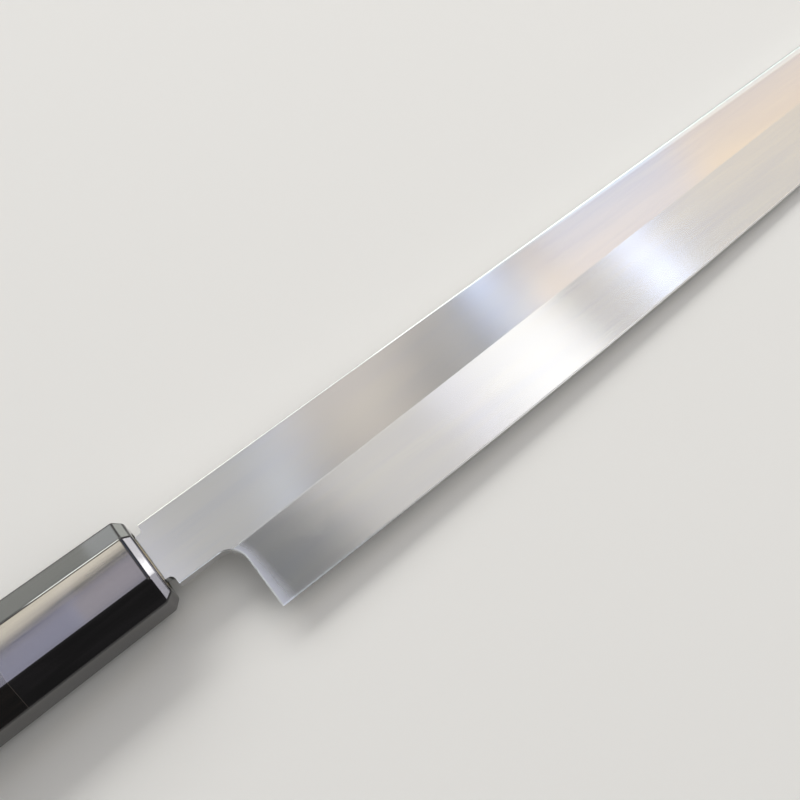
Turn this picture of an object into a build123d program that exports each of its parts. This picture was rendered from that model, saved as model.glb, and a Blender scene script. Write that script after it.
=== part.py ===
"""Yanagiba: a Japanese single-bevel slicing knife with an octagonal handle.

The knife is drawn in its own straight frame and then laid down as it rests.
X runs from the mouth of the handle to the point, Y from the handle's axis to the spine,
and Z out of the front face, which carries the bevel. The back is flat, apart from its shallow hollow.
All lengths are in millimetres.
"""

import os
from math import atan2, cos, degrees, pi, sin

from build123d import *

# Blade, side view
blade_length = 270.0  # shoulder to point
mouth_gap = 2.0  # shoulder to the ferrule's front face
neck_height = 16.7
neck_length = 14.8  # shoulder to heel
heel_height = 34.0  # spine to edge at the heel
belly_height = 28.3  # spine to edge where the edge starts to curve up
belly_length = 67.0  # that place to the point
choil_radius = 4.5

# Blade, thickness
spine_thickness = 3.9  # at the shoulder
point_thickness = 1.5  # where the flat of the front face ends at the spine
spine_radius = 0.6  # front corner of the spine, rounded for the finger
back_radius = 0.25
choil_edge_radius = 0.3

# Bevel
flat_height_at_neck = 18.0  # spine to the ridge line, carried on to the shoulder
flat_height_at_belly = 12.6
ridge_to_point = 7.0  # the ridge line meets the spine this far behind the point
edge_strip_width = 0.35  # last narrow strip honed at a steeper angle
edge_strip_thickness = 0.12

# Hollow in the back
hollow_depth = 0.35
spine_rim = 2.6
edge_rim = 1.6
neck_rim = 5.0  # shoulder to the end of the hollow

# Tang
tang_length = 96.0  # behind the ferrule's front face
upper_shoulder = 2.2  # spine to the top of the tang
lower_shoulder = 2.55  # underside of the neck to the bottom of the tang
tang_end_height = 5.0
tang_end_thickness = 2.2
tang_end_radius = 1.5
upper_shoulder_radius = 0.6
lower_shoulder_radius = 1.3

# Handle, outside
handle_length = 145.0
ferrule_length = 36.7
front_height = 22.0
front_width = 19.0
rear_height = 26.4
rear_width = 22.4
front_facet_height = 5.5  # the part of the height and width that the sloping sides take
front_facet_width = 3.9
rear_facet_height = 6.6
handle_edge_radius = 1.2
mouth_bevel_length = 2.1  # bevel round the ferrule's front end, along the handle
mouth_bevel_depth = 1.6  # and across it
butt_bevel = 1.4

# Handle, inside
core_diameter = 15.0
core_length = 106.0
core_setback = 0.3  # core's end behind the ferrule's front face
glue_gap = 0.1  # round the core
tang_gap = 0.1  # round the tang in its slot

overrun = 5.0  # length by which cutters run past what they cut

# Places worked out from the sizes above
spine_y = neck_height / 2
tang_top = spine_y - upper_shoulder
tang_bottom = lower_shoulder - spine_y
back_z = -spine_thickness / 2
flat_run = blade_length - ridge_to_point
belly_start = blade_length - belly_length


def across(x):
    """The place of a section that is drawn across the knife at x, with the spine's side as its own X."""
    return Plane(origin=(x, 0, 0), x_dir=(0, 1, 0), z_dir=(1, 0, 0)).location


def tip_curve(run, reach):
    """The arc that carries a line on from its end up to the spine."""
    return TangentArc(run @ 1, (reach, spine_y), tangent=run % 1)


def side_outline(run, reach):
    """A closed outline of the blade's side: its spine, the curve of the tip and the run back.

    The run goes on past the heel to the shoulder, and the choil takes that part away.
    """
    shoulder = Line(run @ 0, (0, spine_y))
    spine = Line(shoulder @ 1, (reach, spine_y))
    return Wire([spine, tip_curve(run, reach), run, shoulder])


def edge_run(inset):
    """The long gentle curve of the edge, or a line inset from it, which starts parallel to the spine."""
    start = (0, spine_y - heel_height + inset)
    belly = (belly_start, spine_y - belly_height + inset)
    return TangentArc(start, belly, tangent=(1, 0))


def ridge_run():
    """The ridge line (shinogi) between the flat and the bevel."""
    return Line((0, spine_y - flat_height_at_neck), (belly_start, spine_y - flat_height_at_belly))


def flat_plane():
    """The plane of the front flat, which falls towards the point as the blade gets thinner."""
    start = Vector(mouth_gap, 0, back_z + spine_thickness)
    end = Vector(mouth_gap + flat_run, 0, back_z + point_thickness)
    along = (end - start).normalized()
    return Plane(origin=start, x_dir=along, z_dir=along.cross(Vector(0, 1, 0)))


def ground_blade():
    """The blade from shoulder to point: ruled faces between its back, its edge strip and its front flat."""
    back = Location((mouth_gap, 0, back_z))
    strip = Location((mouth_gap, 0, back_z + edge_strip_thickness))
    wires = [
        back * side_outline(edge_run(0), blade_length),
        strip * side_outline(edge_run(edge_strip_width), blade_length - edge_strip_width),
        flat_plane().location * side_outline(ridge_run(), flat_run),
    ]
    return Solid.make_loft(wires, ruled=True)


def choil_cutter():
    """What is cut away under the neck, with the round corner in front of the heel."""
    far_y = -heel_height - overrun
    neck_y = -neck_height / 2
    cut_line = FilletPolyline(
        (-overrun, neck_y),
        (mouth_gap + neck_length, neck_y),
        (mouth_gap + neck_length, far_y),
        radius=choil_radius,
    )
    rest = Polyline(cut_line @ 1, (-overrun, far_y), cut_line @ 0)
    depth = spine_thickness + 2 * overrun
    return Location((0, 0, -depth / 2)) * extrude(make_face([cut_line, rest]), amount=depth)


def with_round_spine(body):
    """Rounds both corners of the spine, from the shoulder to the point."""
    flat = flat_plane()
    middle = flat.origin + flat.x_dir * (flat_run / 2)
    front_edge = body.edges().sort_by_distance((middle.X, spine_y, middle.Z))[0]
    body = fillet(front_edge, spine_radius)
    back_edge = body.edges().sort_by_distance((middle.X, spine_y, back_z))[0]
    return fillet(back_edge, back_radius)


def with_round_choil(body):
    """Rounds the front corner of the neck's underside and of the choil, down to the heel."""
    heel_x = mouth_gap + neck_length
    curve_reach = choil_radius * (1 - sin(pi / 4))
    spots = [
        (heel_x - choil_radius, -neck_height / 2),
        (heel_x - curve_reach * 2, -neck_height / 2 - curve_reach / 2),
        (heel_x - curve_reach / 2, -neck_height / 2 - curve_reach * 2),
    ]
    front_z = back_z + spine_thickness
    front_edges = [body.edges().sort_by_distance((*spot, front_z))[0] for spot in spots]
    return fillet(front_edges, choil_edge_radius)


def hollow_cutter():
    """The shallow hollow of the back: flat arcs between the rims, deepest in the middle of the blade."""
    edge = edge_run(0)
    tip = tip_curve(edge, blade_length)
    # Where each arc stands on the outline, and its share of the full depth.
    station_shares = [
        (edge, neck_rim / belly_start, 0.1),
        (edge, 0.1, 0.8),
        (edge, 0.3, 1.0),
        (edge, 0.7, 1.0),
        (edge, 1.0, 0.8),
        (tip, 0.3, 0.5),
        (tip, 0.55, 0.15),
    ]
    sections = []
    for line, place_share, depth_share in station_shares:
        low = line @ place_share
        x = mouth_gap + low.X
        bottom = Vector(x, low.Y + edge_rim, back_z)
        top = Vector(x, spine_y - spine_rim, back_z)
        deep = (bottom + top) / 2 + Vector(0, 0, hollow_depth * depth_share)
        drop = Vector(0, 0, overrun)
        arc = ThreePointArc(bottom, deep, top)
        sections.append(Wire([arc, *Polyline(top, top - drop, bottom - drop, bottom).edges()]))
    return Solid.make_loft(sections, ruled=False)


def tang(gap):
    """The tang with the round corners of the shoulders, made larger all round by a gap.

    Its front carries on the front flat as far as the ferrule, and behind that it tapers.
    """
    end = -tang_length - gap
    half_end = tang_end_height / 2 + gap
    corners = [
        (mouth_gap, tang_top + gap),
        (end, half_end),
        (end, -half_end),
        (mouth_gap, tang_bottom - gap),
    ]
    radii = [upper_shoulder_radius, tang_end_radius, tang_end_radius, lower_shoulder_radius]
    # The strip of blade that the tang grows from is there only while the corners are rounded.
    strip = Location((mouth_gap + overrun / 2, 0)) * Rectangle(overrun, neck_height)
    side = make_face(Polyline(*corners, close=True)) + strip
    for corner, radius in zip(corners, radii):
        side = fillet(side.vertices().sort_by_distance(corner)[0], radius)
    bar = extrude(side - strip, amount=spine_thickness, both=True)
    rise = mouth_gap * (spine_thickness - point_thickness) / flat_run
    sections = [
        across(mouth_gap) * Rectangle(neck_height, spine_thickness + 2 * gap),
        across(0) * Location((0, rise / 2)) * Rectangle(neck_height, spine_thickness + rise + 2 * gap),
        across(end) * Rectangle(neck_height, tang_end_thickness + 2 * gap),
    ]
    return bar & loft(sections, ruled=True)


def blade():
    """The whole blade of one piece of steel, tang included."""
    body = with_round_spine(ground_blade() - choil_cutter() - hollow_cutter())
    return with_round_choil(body + tang(0))


def slab(front, rear, turn):
    """All between two planes on either side of the handle's axis, turned about it by an angle in degrees."""
    side = Polyline(
        (0, front / 2),
        (0, -front / 2),
        (-handle_length, -rear / 2),
        (-handle_length, rear / 2),
        close=True,
    )
    return Rot(turn, 0, 0) * extrude(make_face(side), amount=rear_height, both=True)


def grip():
    """The outside of ferrule and handle together: eight flat sides, bevelled ends, all edges eased."""
    lean = atan2(front_facet_height, front_facet_width)
    front = 2 * (front_height / 2 - front_facet_height) * cos(lean) + front_width * sin(lean)
    rear = 2 * (rear_height / 2 - rear_facet_height) * cos(lean) + rear_width * sin(lean)
    body = slab(front_height, rear_height, 0) & slab(front_width, rear_width, 90)
    body = body & slab(front, rear, degrees(lean)) & slab(front, rear, -degrees(lean))
    mouth = body.faces().sort_by(Axis.X)[-1]
    body = chamfer(mouth.edges(), mouth_bevel_depth, mouth_bevel_length, reference=mouth)
    butt = body.faces().sort_by(Axis.X)[0]
    body = chamfer(butt.edges(), butt_bevel)
    return fillet(body.edges(), handle_edge_radius)


def ferrule():
    """The horn sleeve at the front of the handle."""
    bore = Cylinder(core_diameter / 2 + glue_gap, ferrule_length + 2 * overrun, rotation=(0, 90, 0))
    bore = Location((-ferrule_length / 2, 0, 0)) * bore
    return split(grip(), Plane.YZ.offset(-ferrule_length), keep=Keep.TOP) - bore


def handle():
    """The ebony body behind the ferrule."""
    depth = core_setback + core_length + glue_gap - ferrule_length
    bore = Cylinder(core_diameter / 2 + glue_gap, depth + overrun, rotation=(0, 90, 0))
    bore = Location((-ferrule_length - (depth - overrun) / 2, 0, 0)) * bore
    return split(grip(), Plane.YZ.offset(-ferrule_length), keep=Keep.BOTTOM) - bore


def core():
    """The magnolia dowel, with the slot that holds the tang."""
    dowel = Cylinder(core_diameter / 2, core_length, rotation=(0, 90, 0))
    dowel = Location((-core_setback - core_length / 2, 0, 0)) * dowel
    return dowel - tang(tang_gap)


def rest():
    """The place of the knife lying on its back: the point and the ferrule's front end touch the ground."""
    point = Vector(mouth_gap + blade_length, 0, back_z)
    touch = Vector(-mouth_bevel_length, 0, -front_width / 2)
    tilt = degrees(atan2(point.Z - touch.Z, point.X - touch.X))
    return Rot(0, tilt, 0)


pieces = {"blade": blade(), "ferrule": ferrule(), "handle": handle(), "core": core()}
lying = {name: rest() * piece for name, piece in pieces.items()}
box = Compound(list(lying.values())).bounding_box()
to_origin = Location((-box.center().X, -box.center().Y, -box.min.Z))

os.makedirs("parts", exist_ok=True)
for name, piece in lying.items():
    export_step(to_origin * piece, f"parts/{name}.step")
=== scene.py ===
"""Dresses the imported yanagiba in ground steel, polished horn, oiled ebony and bare magnolia."""

from math import cos, pi, radians, sin

import bpy
from bpy.props import (
    FloatProperty,
    FloatVectorProperty,
    PointerProperty,
    StringProperty,
)
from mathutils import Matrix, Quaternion, Vector

bl_info = {
    "name": "Yanagiba Finisher",
    "version": (1, 0, 0),
    "blender": (4, 5, 0),
    "location": "3D View > Sidebar > Yanagiba",
    "description": "Finishes a single-bevel slicing knife in steel, horn, ebony and magnolia",
    "category": "Object",
}

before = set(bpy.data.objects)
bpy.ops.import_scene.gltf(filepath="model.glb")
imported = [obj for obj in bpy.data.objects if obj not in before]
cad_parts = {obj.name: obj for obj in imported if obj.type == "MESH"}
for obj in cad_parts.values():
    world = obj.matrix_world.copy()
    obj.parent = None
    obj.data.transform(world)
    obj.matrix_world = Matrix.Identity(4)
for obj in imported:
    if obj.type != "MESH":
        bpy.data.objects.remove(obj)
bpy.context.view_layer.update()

MM = 0.001
# The knife is drawn in a straight frame of its own, which leans down to the point by this angle in
# the row frame. The places below are in that straight frame, in millimetres.
LEAN = radians(1.5778)
KNIFE_PLACE = (-63.2093, 6.2239, 9.4570)  # in the row frame, the middle of the ferrule's front face
ACROSS = (0.0, 1.0, 0.0)  # the way in which the steel smears its highlights
SPINE_Y = 8.35
SPINE_TAPER = 0.008  # the pale band beside the spine, partly an eased corner and partly painted sheen, widens by this much per length
NECK_Y = -8.35
HEEL_X = 16.8
CHOIL_RADIUS = 4.5
RIDGE_SLOPE = 5.4 / 203.0  # the ridge line nears the spine by this much per length
RIDGE_LEVEL = -9.703  # its height above the axis, carried back to the ferrule's front face
BACK_Z = -1.95
SEAM_X = -36.7  # where horn and ebony meet
SEAM_WIDTH = 0.15

# The blade's finish. Pairs are where a fade starts and ends, in millimetres unless noted.
RIDGE_LINE_HALF = 0.2  # half the width of the burnished line on the ridge, which is painted paler as a highlight
RIDGE_LINE_FADE = (30.0, 120.0)
RIDGE_HIGHLIGHT_SHARE = 0.4
EDGE_STRIP_RISE = (0.12, 0.15)  # top of the honed strip above the back, which is painted paler as a highlight
EDGE_STRIP_FADE = (35.0, 80.0)
EDGE_HIGHLIGHT_SHARE = 0.9
BELT_SPAN = (-25.0, -10.0)  # from the heel up to the ridge
BELT_SHARE_AT_RIDGE = 0.6  # of its width at the heel
RUBBED_REACH = (0.3, 0.55)  # from the round corner of the choil
RUBBED_HIGHLIGHT_SHARE = 0.9
SPINE_REACH = (-0.25, 0.05)  # from the spine's own height
SPINE_FADE = (60.0, 140.0)
SPINE_SHARE = 0.45
HOLLOW_RISE = (0.01, 0.03)  # above the back's rims
FACING_BACK = (-0.5, -0.3)  # upward part of a normal that still counts as facing back
LINE_ROUGHNESS = 0.006  # how much the stone lines add or take
BURNISHED_ROUGHNESS = 0.4
NOISE_SPAN = (0.3, 0.7)  # nearly all of a noise lies between these

# The handle's finish
HORN_ROUGHNESS = (0.05, 0.08)  # from the smoothest fibres to the roughest
HORN_IOR = 1.56
EBONY_ROUGHNESS = (0.09, 0.13)
EBONY_IOR = 1.54
PORE_LEVEL = (0.66, 0.74)  # the noise from which a pore starts to open, and is open
MAGNOLIA_ROUGHNESS = 0.7
SCORCH_REACH = (2.0, 3.2)  # mm from the middle of the core's slot
SCORCH_SHARE = 0.8


def linear(colour):
    """An sRGB colour such as "#C8CACC" as linear red, green, blue and alpha."""
    shares = [int(colour[i : i + 2], 16) / 255 for i in (1, 3, 5)]
    return [s / 12.92 if s <= 0.04045 else ((s + 0.055) / 1.055) ** 2.4 for s in shares] + [1.0]


def add_node(tree, kind, sockets=None, stops=None, **settings):
    """Adds a node with its settings and links.

    Sockets hold values, or (node, output) pairs to link. Settings are the node's own properties,
    and stops are the (place, colour) pairs of a colour ramp.
    """
    made = tree.nodes.new(kind)
    for name, value in settings.items():
        setattr(made, name, value)
    for name, value in (sockets or {}).items():
        if isinstance(value, tuple) and isinstance(value[0], bpy.types.Node):
            tree.links.new(value[0].outputs[value[1]], made.inputs[name])
        else:
            made.inputs[name].default_value = value
    for number, (place, colour) in enumerate(stops or []):
        elements = made.color_ramp.elements
        element = elements[number] if number < 2 else elements.new(place)
        element.position = place
        element.color = linear(colour)
    return made


def new_material(name):
    """An empty node material and its tree."""
    material = bpy.data.materials.new(name)
    material.use_nodes = True
    material.node_tree.nodes.clear()
    return material, material.node_tree


def knife_place(tree):
    """The place on the knife, in millimetres, in the knife's own straight frame."""
    place = add_node(tree, "ShaderNodeTexCoord")
    x, y, z = KNIFE_PLACE
    back = (-(x * cos(LEAN) - z * sin(LEAN)), -y, -(x * sin(LEAN) + z * cos(LEAN)))
    sockets = {
        "Vector": (place, "Object"),
        "Scale": (1 / MM,) * 3,
        "Rotation": (0, -LEAN, 0),
        "Location": back,
    }
    return add_node(tree, "ShaderNodeMapping", sockets)


def ground_steel(look):
    """High-carbon steel, hardened, ground on a wheel and drawn lengthways on fine stones.

    It gives a pale silver metal whose highlights are smeared across the blade, with faint lines
    along it. The bevel is a little hazier than the flat, a belt has blended a rougher band along
    the choil, and the hollow of the back is left hazy by the wheel, while its rims are stoned bright.
    Painted light: the belt's band is painted paler and lilac as a reflection, the ridge, the honed
    edge and the choil's corner carry painted highlight lines, and a pale cyan band beside the spine
    towards the point is painted sheen.
    """
    material, tree = new_material("ground_high_carbon_steel")
    place = knife_place(tree)
    parts = add_node(tree, "ShaderNodeSeparateXYZ", {"Vector": (place, 0)})

    # Stone lines are under 0.05 mm apart; they are drawn far coarser so that they show.
    gap = look.stone_line_gap / MM
    lines_place = add_node(
        tree, "ShaderNodeMapping", {"Vector": (place, 0), "Scale": (1 / 28, 1 / gap, 1 / gap)}
    )
    lines = add_node(
        tree, "ShaderNodeTexNoise", {"Vector": (lines_place, 0), "Scale": 1.0, "Detail": 1.0}
    )
    # Slow waves that hand stoning leaves, about 40 mm long and 6 mm across.
    wave_place = add_node(
        tree, "ShaderNodeMapping", {"Vector": (place, 0), "Scale": (1 / 40, 1 / 6, 1 / 6)}
    )
    waves = add_node(
        tree, "ShaderNodeTexNoise", {"Vector": (wave_place, 0), "Scale": 1.0, "Detail": 1.0}
    )
    mixed = add_node(
        tree, "ShaderNodeMix", {"Factor": 0.4, "A": (waves, 0), "B": (lines, 0)}, data_type="FLOAT"
    )
    steel = add_node(
        tree,
        "ShaderNodeValToRGB",
        {"Fac": (mixed, 0)},
        stops=[(0.35, look.steel_dark), (0.65, look.steel_light)],
    )

    # Height above the ridge line: the bevel is below it and the flat above.
    level = add_node(
        tree,
        "ShaderNodeVectorMath",
        {0: (place, 0), 1: (-RIDGE_SLOPE, 1, 0)},
        operation="DOT_PRODUCT",
    )
    bevel = add_node(
        tree,
        "ShaderNodeMapRange",
        {
            "Value": (level, "Value"),
            "From Min": RIDGE_LEVEL - RIDGE_LINE_HALF,
            "From Max": RIDGE_LEVEL,
            "To Min": 1.0,
            "To Max": 0.0,
        },
    )
    # The stones leave a burnished line 0.4 mm wide on the ridge, painted paler as a highlight, which
    # fades out before the edge curves up.
    on_line = add_node(
        tree,
        "ShaderNodeMath",
        {0: (level, "Value"), 1: RIDGE_LEVEL, 2: RIDGE_LINE_HALF},
        operation="COMPARE",
    )
    line_fade = add_node(
        tree,
        "ShaderNodeMapRange",
        {
            "Value": (parts, "X"),
            "From Min": RIDGE_LINE_FADE[0],
            "From Max": RIDGE_LINE_FADE[1],
            "To Min": RIDGE_HIGHLIGHT_SHARE,
            "To Max": 0.0,
        },
    )
    ridge_painted_highlight = add_node(
        tree, "ShaderNodeMath", {0: (on_line, 0), 1: (line_fade, 0)}, operation="MULTIPLY"
    )
    # The last strip along the edge is honed, and painted paler as a highlight line that grows towards
    # the point.
    on_strip = add_node(
        tree,
        "ShaderNodeMapRange",
        {
            "Value": (parts, "Z"),
            "From Min": BACK_Z + EDGE_STRIP_RISE[0],
            "From Max": BACK_Z + EDGE_STRIP_RISE[1],
            "To Min": 1.0,
            "To Max": 0.0,
        },
    )
    strip_fade = add_node(
        tree,
        "ShaderNodeMapRange",
        {
            "Value": (parts, "X"),
            "From Min": EDGE_STRIP_FADE[0],
            "From Max": EDGE_STRIP_FADE[1],
            "To Max": EDGE_HIGHLIGHT_SHARE,
        },
    )
    edge_painted_highlight = add_node(
        tree, "ShaderNodeMath", {0: (on_strip, 0), 1: (strip_fade, 0)}, operation="MULTIPLY"
    )
    painted_highlight_lines = add_node(
        tree, "ShaderNodeMath", {0: (ridge_painted_highlight, 0), 1: (edge_painted_highlight, 0)}, operation="MAXIMUM"
    )

    # Distance from the choil: the belt has blended a rougher band there, on the bevel only, which is
    # also painted paler and lilac as a reflection.
    corner = (HEEL_X - CHOIL_RADIUS, NECK_Y - CHOIL_RADIUS, 0)
    past = add_node(tree, "ShaderNodeVectorMath", {0: (place, 0), 1: corner}, operation="SUBTRACT")
    kept = add_node(tree, "ShaderNodeVectorMath", {0: (past, 0), 1: (0, 0, 0)}, operation="MAXIMUM")
    flat = add_node(
        tree, "ShaderNodeVectorMath", {0: (kept, 0), 1: (1, 1, 0)}, operation="MULTIPLY"
    )
    reach = add_node(tree, "ShaderNodeVectorMath", {0: (flat, 0)}, operation="LENGTH")
    width = look.belt_width / MM
    # The band is widest at the heel and narrows to the ridge.
    belt_reach = add_node(
        tree,
        "ShaderNodeMapRange",
        {
            "Value": (parts, "Y"),
            "From Min": BELT_SPAN[0],
            "From Max": BELT_SPAN[1],
            "To Min": CHOIL_RADIUS + width,
            "To Max": CHOIL_RADIUS + width * BELT_SHARE_AT_RIDGE,
        },
    )
    near = add_node(
        tree,
        "ShaderNodeMapRange",
        {
            "Value": (reach, "Value"),
            "From Min": CHOIL_RADIUS,
            "From Max": (belt_reach, 0),
            "To Min": 1.0,
            "To Max": 0.0,
        },
    )
    belt = add_node(tree, "ShaderNodeMath", {0: (near, 0), 1: (bevel, 0)}, operation="MULTIPLY")
    # The round corner of the choil is rubbed smooth, so the finger doesn't catch on it, and a thin line
    # beside it is painted paler as a highlight.
    rubbed = add_node(
        tree,
        "ShaderNodeMapRange",
        {
            "Value": (reach, "Value"),
            "From Min": CHOIL_RADIUS + RUBBED_REACH[0],
            "From Max": CHOIL_RADIUS + RUBBED_REACH[1],
            "To Min": RUBBED_HIGHLIGHT_SHARE,
            "To Max": 0.0,
        },
    )
    choil_painted_highlight = add_node(
        tree, "ShaderNodeMath", {0: (rubbed, 0), 1: (bevel, 0)}, operation="MULTIPLY"
    )
    # Painted highlights: the ridge, edge and choil lines, which are mixed below to the paler burnished
    # colour.
    burnish_and_highlight = add_node(
        tree, "ShaderNodeMath", {0: (painted_highlight_lines, 0), 1: (choil_painted_highlight, 0)}, operation="MAXIMUM"
    )
    # Painted reflection: the belt's band is mixed to a paler lilac.
    banded = add_node(
        tree,
        "ShaderNodeMix",
        {"Factor": (belt, 0), "A": (steel, 0), "B": linear(look.belt_reflection_colour)},
        data_type="RGBA",
    )
    # Towards the point a pale cyan band beside the spine, 1.6 mm wide at x = 185, is painted sheen on
    # the corner that the stones have eased.
    spine_level = add_node(
        tree,
        "ShaderNodeVectorMath",
        {0: (place, 0), 1: (SPINE_TAPER, 1, 0)},
        operation="DOT_PRODUCT",
    )
    beside_spine = add_node(
        tree,
        "ShaderNodeMapRange",
        {
            "Value": (spine_level, "Value"),
            "From Min": SPINE_Y + SPINE_REACH[0],
            "From Max": SPINE_Y + SPINE_REACH[1],
        },
    )
    eased = add_node(
        tree,
        "ShaderNodeMapRange",
        {
            "Value": (parts, "X"),
            "From Min": SPINE_FADE[0],
            "From Max": SPINE_FADE[1],
            "To Max": SPINE_SHARE,
        },
    )
    spine_sheen_band = add_node(
        tree, "ShaderNodeMath", {0: (beside_spine, 0), 1: (eased, 0)}, operation="MULTIPLY"
    )
    spine_sheen_mix = add_node(
        tree,
        "ShaderNodeMix",
        {"Factor": (spine_sheen_band, 0), "A": (banded, 2), "B": linear(look.spine_sheen_colour)},
        data_type="RGBA",
    )
    colour = add_node(
        tree,
        "ShaderNodeMix",
        {"Factor": (burnish_and_highlight, 0), "A": (spine_sheen_mix, 2), "B": linear(look.burnish_highlight_colour)},
        data_type="RGBA",
    )

    # The hollow of the back: behind the flat, facing back, and deeper than its rims.
    facing = add_node(tree, "ShaderNodeTexCoord")
    facing_parts = add_node(tree, "ShaderNodeSeparateXYZ", {"Vector": (facing, "Normal")})
    behind = add_node(
        tree,
        "ShaderNodeMapRange",
        {
            "Value": (facing_parts, "Z"),
            "From Min": FACING_BACK[0],
            "From Max": FACING_BACK[1],
            "To Min": 1.0,
            "To Max": 0.0,
        },
    )
    sunk = add_node(
        tree,
        "ShaderNodeMapRange",
        {
            "Value": (parts, "Z"),
            "From Min": BACK_Z + HOLLOW_RISE[0],
            "From Max": BACK_Z + HOLLOW_RISE[1],
        },
    )
    hollow = add_node(tree, "ShaderNodeMath", {0: (behind, 0), 1: (sunk, 0)}, operation="MULTIPLY")

    spread = add_node(
        tree,
        "ShaderNodeMapRange",
        {
            "Value": (lines, 0),
            "From Min": NOISE_SPAN[0],
            "From Max": NOISE_SPAN[1],
            "To Min": look.flat_roughness - LINE_ROUGHNESS,
            "To Max": look.flat_roughness + LINE_ROUGHNESS,
        },
    )
    haze = look.bevel_roughness - look.flat_roughness
    on_bevel = add_node(
        tree, "ShaderNodeMath", {0: (bevel, 0), 1: haze, 2: (spread, 0)}, operation="MULTIPLY_ADD"
    )
    on_belt = add_node(
        tree,
        "ShaderNodeMix",
        {"Factor": (belt, 0), "A": (on_bevel, 0), "B": look.belt_roughness},
        data_type="FLOAT",
    )
    on_lines = add_node(
        tree,
        "ShaderNodeMix",
        {"Factor": (burnish_and_highlight, 0), "A": (on_belt, 0), "B": BURNISHED_ROUGHNESS},
        data_type="FLOAT",
    )
    rough = add_node(
        tree,
        "ShaderNodeMix",
        {"Factor": (hollow, 0), "A": (on_lines, 0), "B": look.hollow_roughness},
        data_type="FLOAT",
    )
    bump = add_node(
        tree, "ShaderNodeBump", {"Height": (waves, 0), "Strength": 0.06, "Distance": 0.02 * MM}
    )
    across = add_node(
        tree, "ShaderNodeCombineXYZ", {"X": ACROSS[0], "Y": ACROSS[1], "Z": ACROSS[2]}
    )
    shader = add_node(
        tree,
        "ShaderNodeBsdfPrincipled",
        {
            "Base Color": (colour, 2),
            "Metallic": 1.0,
            "Roughness": (rough, 0),
            "Anisotropic": look.lengthways,
            "Tangent": (across, 0),
            "Normal": (bump, 0),
        },
    )
    add_node(tree, "ShaderNodeOutputMaterial", {"Surface": (shader, 0)})
    return material


def polished_horn(look):
    """Black water buffalo horn, ground to an octagon and buffed with wax.

    It gives a near black, glassy surface with smoky brown streaks along the fibres.
    """
    material, tree = new_material("polished_buffalo_horn")
    place = knife_place(tree)
    # Smoke in the horn, in streaks about 30 mm long and 3 mm across.
    smoke_place = add_node(
        tree, "ShaderNodeMapping", {"Vector": (place, 0), "Scale": (1 / 30, 1 / 3, 1 / 3)}
    )
    smoke = add_node(
        tree,
        "ShaderNodeTexNoise",
        {"Vector": (smoke_place, 0), "Scale": 1.0, "Detail": 3.0, "Distortion": 0.6},
    )
    # Fibres are about 0.2 mm thick; they are drawn 0.5 mm apart.
    fibre_place = add_node(
        tree, "ShaderNodeMapping", {"Vector": (place, 0), "Scale": (1 / 25, 1 / 0.5, 1 / 0.5)}
    )
    fibres = add_node(
        tree, "ShaderNodeTexNoise", {"Vector": (fibre_place, 0), "Scale": 1.0, "Detail": 2.0}
    )
    mixed = add_node(
        tree, "ShaderNodeMix", {"Factor": 0.3, "A": (smoke, 0), "B": (fibres, 0)}, data_type="FLOAT"
    )
    colour = add_node(
        tree,
        "ShaderNodeValToRGB",
        {"Fac": (mixed, 0)},
        stops=[(0.4, look.horn_dark), (0.62, look.horn_smoke), (0.75, look.horn_streak)],
    )
    spread = add_node(
        tree,
        "ShaderNodeMapRange",
        {
            "Value": (fibres, 0),
            "From Min": NOISE_SPAN[0],
            "From Max": NOISE_SPAN[1],
            "To Min": HORN_ROUGHNESS[0],
            "To Max": HORN_ROUGHNESS[1],
        },
    )
    bump = add_node(
        tree, "ShaderNodeBump", {"Height": (fibres, 0), "Strength": 0.02, "Distance": 0.02 * MM}
    )
    # The horn's last 0.15 mm before the wood is drawn as a paler grey hairline.
    parts = add_node(tree, "ShaderNodeSeparateXYZ", {"Vector": (place, 0)})
    pale_seam = add_node(
        tree, "ShaderNodeMath", {0: (parts, "X"), 1: SEAM_X + SEAM_WIDTH}, operation="LESS_THAN"
    )
    seamed = add_node(
        tree,
        "ShaderNodeMix",
        {"Factor": (pale_seam, 0), "A": (colour, 0), "B": linear(look.seam_line_colour)},
        data_type="RGBA",
    )
    shader = add_node(
        tree,
        "ShaderNodeBsdfPrincipled",
        {"Base Color": (seamed, 2), "Roughness": (spread, 0), "IOR": HORN_IOR, "Normal": (bump, 0)},
    )
    add_node(tree, "ShaderNodeOutputMaterial", {"Surface": (shader, 0)})
    return material


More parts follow.
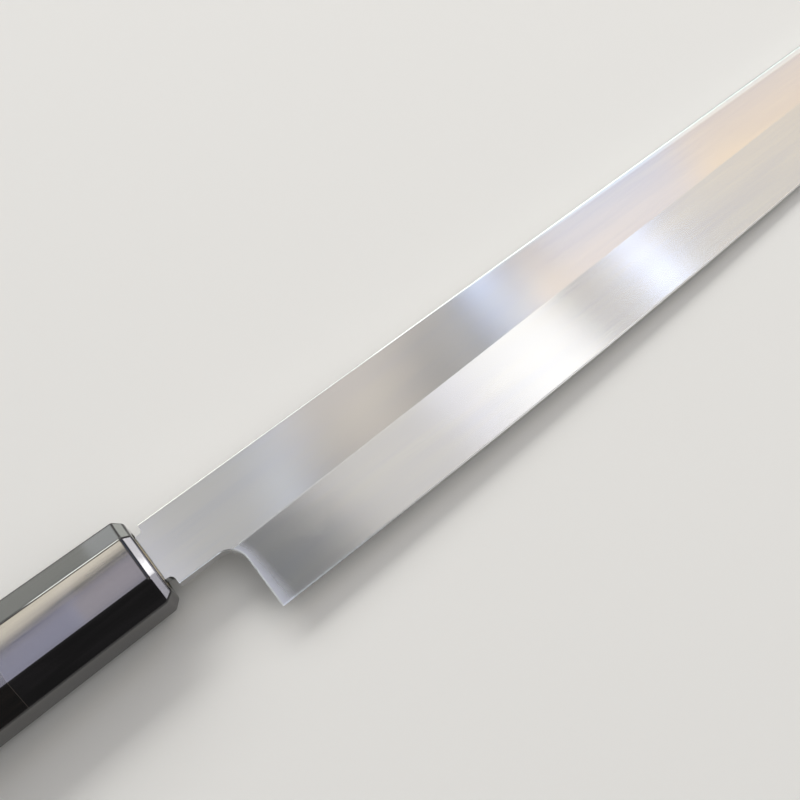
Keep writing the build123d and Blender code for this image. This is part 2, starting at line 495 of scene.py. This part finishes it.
def satin_ebony(look):
    """Ebony, planed and sanded fine, then oiled and rubbed.

    It gives a brown-black wood with very fine straight grain, short open pores and a close shine.
    """
    material, tree = new_material("satin_ebony")
    place = knife_place(tree)
    # Grain bands about 1 mm wide run the whole length.
    grain_place = add_node(
        tree, "ShaderNodeMapping", {"Vector": (place, 0), "Scale": (1 / 60, 1 / 1.1, 1 / 1.1)}
    )
    grain = add_node(
        tree,
        "ShaderNodeTexNoise",
        {"Vector": (grain_place, 0), "Scale": 1.0, "Detail": 4.0, "Distortion": 0.3},
    )
    wood = add_node(
        tree,
        "ShaderNodeValToRGB",
        {"Fac": (grain, 0)},
        stops=[(0.3, look.ebony_dark), (0.6, look.ebony_middle), (0.78, look.ebony_light)],
    )
    # Pores are 0.1 mm wide and about 1 mm long; they are drawn 0.3 mm wide and 4 mm long.
    pore_place = add_node(
        tree, "ShaderNodeMapping", {"Vector": (place, 0), "Scale": (1 / 4, 1 / 0.3, 1 / 0.3)}
    )
    pores = add_node(
        tree, "ShaderNodeTexNoise", {"Vector": (pore_place, 0), "Scale": 1.0, "Detail": 0.0}
    )
    open_pores = add_node(
        tree,
        "ShaderNodeMapRange",
        {"Value": (pores, 0), "From Min": PORE_LEVEL[0], "From Max": PORE_LEVEL[1]},
    )
    colour = add_node(
        tree,
        "ShaderNodeMix",
        {"Factor": (open_pores, 0), "A": (wood, 0), "B": linear(look.pore_colour)},
        data_type="RGBA",
    )
    depth = add_node(
        tree,
        "ShaderNodeMath",
        {0: (open_pores, 0), 1: -1.0, 2: (grain, 0)},
        operation="MULTIPLY_ADD",
    )
    bump = add_node(
        tree, "ShaderNodeBump", {"Height": (depth, 0), "Strength": 0.06, "Distance": 0.03 * MM}
    )
    spread = add_node(
        tree,
        "ShaderNodeMapRange",
        {
            "Value": (grain, 0),
            "From Min": NOISE_SPAN[0],
            "From Max": NOISE_SPAN[1],
            "To Min": EBONY_ROUGHNESS[0],
            "To Max": EBONY_ROUGHNESS[1],
        },
    )
    shader = add_node(
        tree,
        "ShaderNodeBsdfPrincipled",
        {
            "Base Color": (colour, 2),
            "Roughness": (spread, 0),
            "IOR": EBONY_IOR,
            "Normal": (bump, 0),
        },
    )
    add_node(tree, "ShaderNodeOutputMaterial", {"Surface": (shader, 0)})
    return material


def bare_magnolia(look):
    """Magnolia wood, turned to a dowel and left bare.

    It gives a pale greenish tan, dull and close-grained, scorched brown where the hot tang was
    driven in.
    """
    material, tree = new_material("bare_magnolia")
    place = knife_place(tree)
    grain_place = add_node(
        tree, "ShaderNodeMapping", {"Vector": (place, 0), "Scale": (1 / 20, 1 / 0.8, 1 / 0.8)}
    )
    grain = add_node(
        tree, "ShaderNodeTexNoise", {"Vector": (grain_place, 0), "Scale": 1.0, "Detail": 3.0}
    )
    wood = add_node(
        tree,
        "ShaderNodeValToRGB",
        {"Fac": (grain, 0)},
        stops=[(0.3, look.magnolia_dark), (0.7, look.magnolia_light)],
    )
    # The slot is 4 mm wide; the scorch fades within 1.2 mm of it.
    parts = add_node(tree, "ShaderNodeSeparateXYZ", {"Vector": (place, 0)})
    off_middle = add_node(tree, "ShaderNodeMath", {0: (parts, "Z")}, operation="ABSOLUTE")
    scorch = add_node(
        tree,
        "ShaderNodeMapRange",
        {
            "Value": (off_middle, 0),
            "From Min": SCORCH_REACH[0],
            "From Max": SCORCH_REACH[1],
            "To Min": SCORCH_SHARE,
            "To Max": 0.0,
        },
    )
    colour = add_node(
        tree,
        "ShaderNodeMix",
        {"Factor": (scorch, 0), "A": (wood, 0), "B": linear(look.scorch_colour)},
        data_type="RGBA",
    )
    bump = add_node(
        tree, "ShaderNodeBump", {"Height": (grain, 0), "Strength": 0.2, "Distance": 0.05 * MM}
    )
    shader = add_node(
        tree,
        "ShaderNodeBsdfPrincipled",
        {"Base Color": (colour, 2), "Roughness": MAGNOLIA_ROUGHNESS, "Normal": (bump, 0)},
    )
    add_node(tree, "ShaderNodeOutputMaterial", {"Surface": (shader, 0)})
    return material


def dress(node, material):
    """Gives a CAD node a material in all of its slots."""
    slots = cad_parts[node].material_slots
    for slot in slots:
        slot.material = material


class KnifeLook(bpy.types.PropertyGroup):
    """Finish of the knife."""

    steel_light: StringProperty(
        name="Steel light", description="sRGB hex of the palest steel", default="#CECDCB"
    )
    steel_dark: StringProperty(
        name="Steel dark", description="sRGB hex of the darkest steel", default="#C8C8CA"
    )
    # Paler colour that paints the highlight on the burnished ridge, edge and choil lines.
    burnish_highlight_colour: StringProperty(
        name="Burnished", description="sRGB hex of the burnished lines", default="#F0F0EE"
    )
    # Pale cyan that paints a sheen beside the spine.
    spine_sheen_colour: StringProperty(
        name="Spine corner",
        description="sRGB hex of the eased corner beside the spine",
        default="#E8F6F6",
    )
    stone_line_gap: FloatProperty(
        name="Stone lines",
        description="Distance between the lines that the stones leave",
        default=0.0007,
        precision=5,
        unit="LENGTH",
    )
    lengthways: FloatProperty(
        name="Lengthways",
        description="How much more the stone lines spread highlights across the blade",
        default=0.87,
        subtype="FACTOR",
    )
    flat_roughness: FloatProperty(
        name="Flat roughness",
        description="How far the flat of the blade spreads its highlights",
        default=0.168,
        subtype="FACTOR",
    )
    bevel_roughness: FloatProperty(
        name="Bevel roughness", description="The same on the bevel", default=0.192, subtype="FACTOR"
    )
    hollow_roughness: FloatProperty(
        name="Hollow roughness",
        description="The same in the hollow back",
        default=0.3,
        subtype="FACTOR",
    )
    belt_roughness: FloatProperty(
        name="Belt roughness",
        description="The same where a belt has blended the choil",
        default=0.36,
        subtype="FACTOR",
    )
    # Paler lilac that paints a reflection on the belt's band.
    belt_reflection_colour: StringProperty(
        name="Belt", description="sRGB hex of that blended band", default="#DAD9E2"
    )
    belt_width: FloatProperty(
        name="Belt width",
        description="Width of the band that the belt has blended along the choil",
        default=0.0045,
        precision=4,
        unit="LENGTH",
    )
    horn_dark: StringProperty(
        name="Horn dark", description="sRGB hex of the black horn", default="#0A090A"
    )
    horn_smoke: StringProperty(
        name="Horn smoke", description="sRGB hex of the smoke in the horn", default="#1C1A1C"
    )
    horn_streak: StringProperty(
        name="Horn streak", description="sRGB hex of its palest streaks", default="#2E2826"
    )
    # Colour of the paler grey hairline at the seam.
    seam_line_colour: StringProperty(
        name="Glue", description="sRGB hex of the hairline at the seam", default="#3C3834"
    )
    ebony_dark: StringProperty(
        name="Ebony dark", description="sRGB hex of the darkest grain", default="#080606"
    )
    ebony_middle: StringProperty(
        name="Ebony middle", description="sRGB hex of most of the grain", default="#14100E"
    )
    ebony_light: StringProperty(
        name="Ebony light", description="sRGB hex of the palest grain", default="#2C201A"
    )
    pore_colour: StringProperty(
        name="Pores", description="sRGB hex inside the pores", default="#060504"
    )
    magnolia_light: StringProperty(
        name="Magnolia light", description="sRGB hex of the palest grain", default="#C2B58C"
    )
    magnolia_dark: StringProperty(
        name="Magnolia dark", description="sRGB hex of the darkest grain", default="#A79A72"
    )
    scorch_colour: StringProperty(
        name="Scorch", description="sRGB hex of the scorched slot", default="#4B3A28"
    )


class StageLook(bpy.types.PropertyGroup):
    """Floor, lamps and camera."""

    floor_colour: StringProperty(
        name="Floor colour", description="sRGB hex of the floor", default="#ECEBE8"
    )
    floor_size: FloatProperty(
        name="Floor size", description="Side of the square floor", default=6.0, unit="LENGTH"
    )
    world_strength: FloatProperty(
        name="World strength", description="Light from all round", default=0.35
    )
    lamp_strength: FloatProperty(
        name="Lamp strength", description="Factor on all the soft boxes", default=1.0
    )
    camera_place: FloatVectorProperty(
        name="Camera place",
        description="Where the photograph was taken from",
        default=(-0.045353, -0.063825, 0.249988),
        subtype="XYZ",
        unit="LENGTH",
    )
    camera_turn: FloatVectorProperty(
        name="Camera turn",
        description="Camera rotation",
        default=(radians(18.618), radians(0.6655), radians(-38.4099)),
        subtype="EULER",
    )
    camera_lens: FloatProperty(
        name="Lens", description="Focal length on a 36 mm sensor", default=49.518
    )


class KNIFE_OT_blade(bpy.types.Operator):
    """Finish the blade in ground steel"""

    bl_idname = "knife.blade"
    bl_label = "Finish Blade"

    def execute(self, context):
        dress("blade", ground_steel(context.scene.knife_look))
        return {"FINISHED"}


class KNIFE_OT_ferrule(bpy.types.Operator):
    """Finish the ferrule in polished buffalo horn"""

    bl_idname = "knife.ferrule"
    bl_label = "Finish Ferrule"

    def execute(self, context):
        dress("ferrule", polished_horn(context.scene.knife_look))
        return {"FINISHED"}


class KNIFE_OT_handle(bpy.types.Operator):
    """Finish the handle body in oiled ebony"""

    bl_idname = "knife.handle"
    bl_label = "Finish Handle"

    def execute(self, context):
        dress("handle", satin_ebony(context.scene.knife_look))
        return {"FINISHED"}


class KNIFE_OT_core(bpy.types.Operator):
    """Finish the core in bare magnolia"""

    bl_idname = "knife.core"
    bl_label = "Finish Core"

    def execute(self, context):
        dress("core", bare_magnolia(context.scene.knife_look))
        return {"FINISHED"}


ROOM_FADE = (-0.5, 0.1)  # the room's light grows from the photographer's side to the knife's back
DARK_SIDE_SHARE = 0.4
FLOOR_ROUGHNESS = 0.9
NEAR_CLIP = 0.01

# Points that some boxes face; the others face straight down.
DOWN = None
MOUTH_FACE = (-0.064, 0.006, 0.018)
MOUTH_CORNER = (-0.064, 0.0148, 0.0169)

# Soft boxes: name, place, the point they face, width and height in metres, turn about their own
# axis in degrees, how bright they look, their colour and what they light.
SOFT_BOXES = [
    ("bevel_near", (0.272, -0.28, 1.0), DOWN, (0.243, 0.62), 18.0, 0.83, "#FFFBF6", "all"),
    ("bevel_first_blue", (0.33, -0.17, 0.99), DOWN, (0.035, 0.14), 22.0, 1.4, "#DCDFFF", "all"),
    ("bevel_peak", (0.461, -0.28, 1.0), DOWN, (0.184, 0.6), 13.0, 1.74, "#FFFFFF", "all"),
    ("bevel_far", (0.7975, -0.2, 1.0), DOWN, (0.485, 0.6), 0.0, 0.76, "#FFFBF6", "all"),
    ("bevel_streak", (0.637, -0.109, 0.99), DOWN, (0.037, 0.12), 22.0, 5.8, "#C4D8FF", "all"),
    ("neck", (-0.105, 0.29, 1.0), DOWN, (0.11, 0.3), 0.0, 0.6, "#F4F4FF", "all"),
    ("neck_low", (-0.06, 0.1, 0.99), DOWN, (0.06, 0.1), 0.0, 1.8, "#F4F4FF", "blade"),
    ("flat_near", (0.03, 0.3, 1.0), DOWN, (0.18, 0.3), 0.0, 0.44, "#FFFFFF", "all"),
    ("flat_first_blue", (0.125, 0.3, 0.99), DOWN, (0.05, 0.3), -20.0, 0.52, "#CFE0FF", "all"),
    ("flat_middle", (0.256, 0.385, 1.0), DOWN, (0.21, 0.3), -42.0, 0.73, "#FFF2E4", "all"),
    ("flat_middle_end", (0.384, 0.3, 0.99), DOWN, (0.035, 0.14), -23.0, 0.6, "#F6F2EE", "all"),
    ("flat_second_blue", (0.455, 0.385, 0.99), DOWN, (0.046, 0.14), -23.0, 3.0, "#CCDCFF", "all"),
    ("flat_second_low", (0.473, 0.24, 0.99), DOWN, (0.06, 0.14), -23.0, 1.5, "#F2F2FA", "all"),
    ("flat_far_warm", (0.638, 0.175, 1.0), DOWN, (0.284, 0.26), -3.0, 1.4, "#FFE6C8", "all"),
    ("flat_end_warm", (1.0, 0.16, 1.0), DOWN, (0.44, 0.26), -3.0, 1.6, "#FFDC9C", "all"),
    ("flat_far_cool", (0.68, 0.455, 1.0), DOWN, (0.24, 0.26), -3.0, 1.15, "#B4CEFF", "all"),
    ("flat_end_cool", (1.01, 0.44, 1.0), DOWN, (0.42, 0.26), -3.0, 0.84, "#E4E4FF", "all"),
    ("ferrule_box", (-0.121, 0.098, 0.35), DOWN, (0.118, 0.019), 3.3, 4.7, "#DEDCF2", "grip"),
    ("ferrule_high_strip", (-0.121, 0.1175, 0.35), DOWN, (0.118, 0.0121), 3.3, 12.0, "#FFF6E2", "grip"),
    ("ferrule_low_strip", (-0.083, 0.0995, 0.345), DOWN, (0.042, 0.013), 3.3, 1.3, "#FFE4C4", "grip"),
    ("ferrule_blue_end", (-0.14, 0.099, 0.345), DOWN, (0.08, 0.0205), 3.3, 1.4, "#CDD4FF", "grip"),
    ("ferrule_edge", (-0.155, 1.2, 0.9), (-0.1, 0.0, 0.0), (0.19, 0.26), 0.0, 36.0, "#FFFEF8", "grip"),
    ("mouth_box", (1.385, 0.46, 0.458), MOUTH_FACE, (0.3, 0.2), 0.0, 3.8, "#FFFCF4", "grip"),
    ("mouth_spot", (1.38, 0.437, 0.457), MOUTH_FACE, (0.022, 0.08), 0.0, 16.0, "#FFFFFF", "grip"),
    ("mouth_card", (-0.0449, 0.042, 0.0062), MOUTH_CORNER, (0.01, 0.0075), 0.0, 2.9, "#F2F5EC", "grip"),
    ("upper_facet", (-0.08, 1.39, 0.08), (-0.08, 0.0, 0.01), (0.17, 0.16), 0.0, 1.3, "#EEF4FF", "grip"),
    ("spine_far", (0.95, 1.0, 0.6), (0.95, 0.0, 0.0), (1.3, 0.7), 0.0, 1.0, "#FAFFFA", "blade"),
    ("choil", (-0.03, -0.7, 0.62), (-0.05, 0.0, 0.0), (0.3, 0.5), 0.0, 2.2, "#E8F2FF", "blade"),
    ("heel", (-0.85, -0.2, 0.62), (-0.05, -0.02, 0.0), (0.4, 0.45), 0.0, 3.0, "#E8F2FF", "blade"),
    ("floor_box", (0.1, 0.1, 2.2), DOWN, (5.0, 5.0), 0.0, 0.24, "#FFFFFF", "floor"),
    ("floor_back", (0.3, 3.0, 2.2), (0.1, 0.0, 0.0), (3.0, 1.5), 0.0, 3.3, "#FFFFFF", "floor"),
    ("back_box", (0.5, 1.0, 0.9), (0.5, 0.0, 0.0), (2.3, 0.3), 0.0, 2.6, "#FFFEF8", "all"),
    ("far_window", (-0.1, 1.4, 0.3), (-0.1, 0.0, 0.05), (2.2, 0.6), 0.0, 2.4, "#F2F5EC", "knife"),
    ("right_box", (1.4, -0.12, 0.27), (0.0, 0.0, 0.0), (1.4, 0.56), 0.0, 7.0, "#F7F4FF", "knife"),
]
# Nodes that the boxes of each group light. The stage adds the floor, and "all" lights everything.
LIT = {
    "grip": ("handle", "ferrule", "core"),
    "blade": ("blade",),
    "knife": ("handle", "ferrule", "core", "blade"),
}


class KNIFE_OT_stage(bpy.types.Operator):
    """Set up the pale floor, the soft boxes and the camera"""

    bl_idname = "knife.stage"
    bl_label = "Set Stage"

    def execute(self, context):
        look = context.scene.stage_look
        half = look.floor_size / 2
        corners = [(-half, -half, 0), (half, -half, 0), (half, half, 0), (-half, half, 0)]
        mesh = bpy.data.meshes.new("floor")
        mesh.from_pydata(corners, [], [(0, 1, 2, 3)])
        floor = bpy.data.objects.new("floor", mesh)
        context.collection.objects.link(floor)
        material, tree = new_material("matt_paper_floor")
        sockets = {"Base Color": linear(look.floor_colour), "Roughness": FLOOR_ROUGHNESS}
        shader = add_node(tree, "ShaderNodeBsdfPrincipled", sockets)
        add_node(tree, "ShaderNodeOutputMaterial", {"Surface": (shader, 0)})
        mesh.materials.append(material)

        world = bpy.data.worlds.new("soft_room")
        world.use_nodes = True
        tree = world.node_tree
        tree.nodes.clear()
        direction = add_node(tree, "ShaderNodeTexCoord")
        parts = add_node(tree, "ShaderNodeSeparateXYZ", {"Vector": (direction, "Generated")})
        # The room is darker behind the photographer.
        light = add_node(
            tree,
            "ShaderNodeMapRange",
            {
                "Value": (parts, "Y"),
                "From Min": ROOM_FADE[0],
                "From Max": ROOM_FADE[1],
                "To Min": look.world_strength * DARK_SIDE_SHARE,
                "To Max": look.world_strength,
            },
        )
        sky = add_node(
            tree, "ShaderNodeBackground", {"Color": (1, 1, 1, 1), "Strength": (light, 0)}
        )
        add_node(tree, "ShaderNodeOutputWorld", {"Surface": (sky, 0)})
        context.scene.world = world

        groups = {"floor": bpy.data.collections.new("lit_floor")}
        groups["floor"].objects.link(floor)
        for group, nodes in LIT.items():
            groups[group] = bpy.data.collections.new("lit_" + group)
            for node in nodes:
                groups[group].objects.link(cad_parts[node])

        for name, place, aim, size, turn, brightness, colour, group in SOFT_BOXES:
            lamp = bpy.data.lights.new(name, "AREA")
            lamp.shape = "RECTANGLE"
            lamp.size, lamp.size_y = size
            lamp.energy = look.lamp_strength * brightness * pi * size[0] * size[1]
            lamp.color = linear(colour)[:3]
            box = bpy.data.objects.new(name, lamp)
            box.location = place
            ray = Vector(aim or (place[0], place[1], 0.0)) - Vector(place)
            facing = ray.to_track_quat("-Z", "Y")
            facing.rotate(Quaternion(ray, radians(-turn)))
            box.rotation_euler = facing.to_euler()
            box.visible_camera = False
            box.light_linking.receiver_collection = groups.get(group)
            context.collection.objects.link(box)

        camera = bpy.data.objects.new("camera", bpy.data.cameras.new("camera"))
        camera.data.lens = look.camera_lens
        camera.data.clip_start = NEAR_CLIP
        camera.location = look.camera_place
        camera.rotation_euler = look.camera_turn
        context.collection.objects.link(camera)
        context.scene.camera = camera
        context.scene.view_settings.view_transform = "Standard"
        return {"FINISHED"}


class KNIFE_PT_panel(bpy.types.Panel):
    """Lists the steps that dress the knife"""

    bl_idname = "KNIFE_PT_panel"
    bl_label = "Yanagiba"
    bl_space_type = "VIEW_3D"
    bl_region_type = "UI"
    bl_category = "Yanagiba"

    def draw(self, context):
        layout = self.layout
        for look in (context.scene.knife_look, context.scene.stage_look):
            for name in look.__annotations__:
                layout.prop(look, name)
        for operator in OPERATORS:
            layout.operator(operator.bl_idname)


OPERATORS = [KNIFE_OT_blade, KNIFE_OT_ferrule, KNIFE_OT_handle, KNIFE_OT_core, KNIFE_OT_stage]
CLASSES = [KnifeLook, StageLook, *OPERATORS, KNIFE_PT_panel]


def register():
    for item in CLASSES:
        bpy.utils.register_class(item)
    bpy.types.Scene.knife_look = PointerProperty(type=KnifeLook)
    bpy.types.Scene.stage_look = PointerProperty(type=StageLook)


def unregister():
    del bpy.types.Scene.stage_look
    del bpy.types.Scene.knife_look
    for item in reversed(CLASSES):
        bpy.utils.unregister_class(item)


def main():
    register()
    bpy.ops.knife.blade()
    bpy.ops.knife.ferrule()
    bpy.ops.knife.handle()
    bpy.ops.knife.core()
    bpy.ops.knife.stage()


if __name__ == "__main__":
    main()
